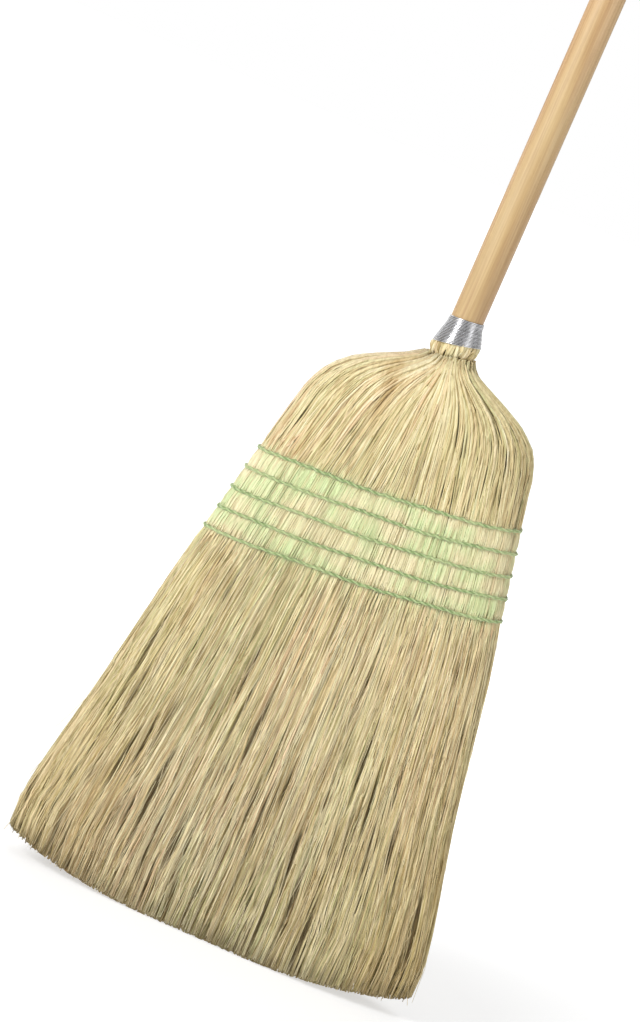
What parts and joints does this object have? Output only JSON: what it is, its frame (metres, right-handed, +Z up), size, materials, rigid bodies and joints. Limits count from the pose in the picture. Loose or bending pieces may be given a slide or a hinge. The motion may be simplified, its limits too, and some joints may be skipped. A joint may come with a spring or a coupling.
{
  "type": "corn broom",
  "caption": "Upright flat corn broom: round wooden handle, wire-bound neck, natural fibre head sewn flat with rows of green twine, free ends that flex.",
  "frame": {"origin": "middle of the trimmed fibre ends, at the bottom centre of the bounding box", "axes": "+Z up along the handle, X across the head's width, Y through its thickness with the front towards -Y"},
  "size_m": [0.312, 0.06, 1.422],
  "materials": {
    "handle_wood": "satin",
    "core_straw": "matte",
    "shoulder_straw": "matte",
    "cover_straw": "matte",
    "wire_steel": "satin",
    "twine": "matte"
  },
  "bodies": {
    "broom": {"handle": "handle_wood", "core_front": "core_straw", "core_back": "core_straw", "core_tack": "wire_steel", "core_wire": "wire_steel", "shoulder_left": "shoulder_straw", "shoulder_right": "shoulder_straw", "shoulder_wire": "wire_steel", "cover_front": "cover_straw", "cover_back": "cover_straw", "neck_wire": "wire_steel", "neck_tack": "wire_steel", "stitch_row_1": "twine", "stitch_row_2": "twine", "stitch_row_3": "twine", "stitch_row_4": "twine", "stitch_row_5": "twine"},
    "free_ends": {"core_ends": "core_straw", "shoulder_left_ends": "shoulder_straw", "shoulder_right_ends": "shoulder_straw", "cover_front_ends": "cover_straw", "cover_back_ends": "cover_straw"}
  },
  "joints": [
    {"name": "bristle_flex", "type": "hinge", "parent": "broom", "child": "free_ends", "pos_m": [0, 0, 0.245], "axis": [1, 0, 0], "range_deg": [-25, 25], "stiffness_Nm_per_rad": 25}
  ]
}
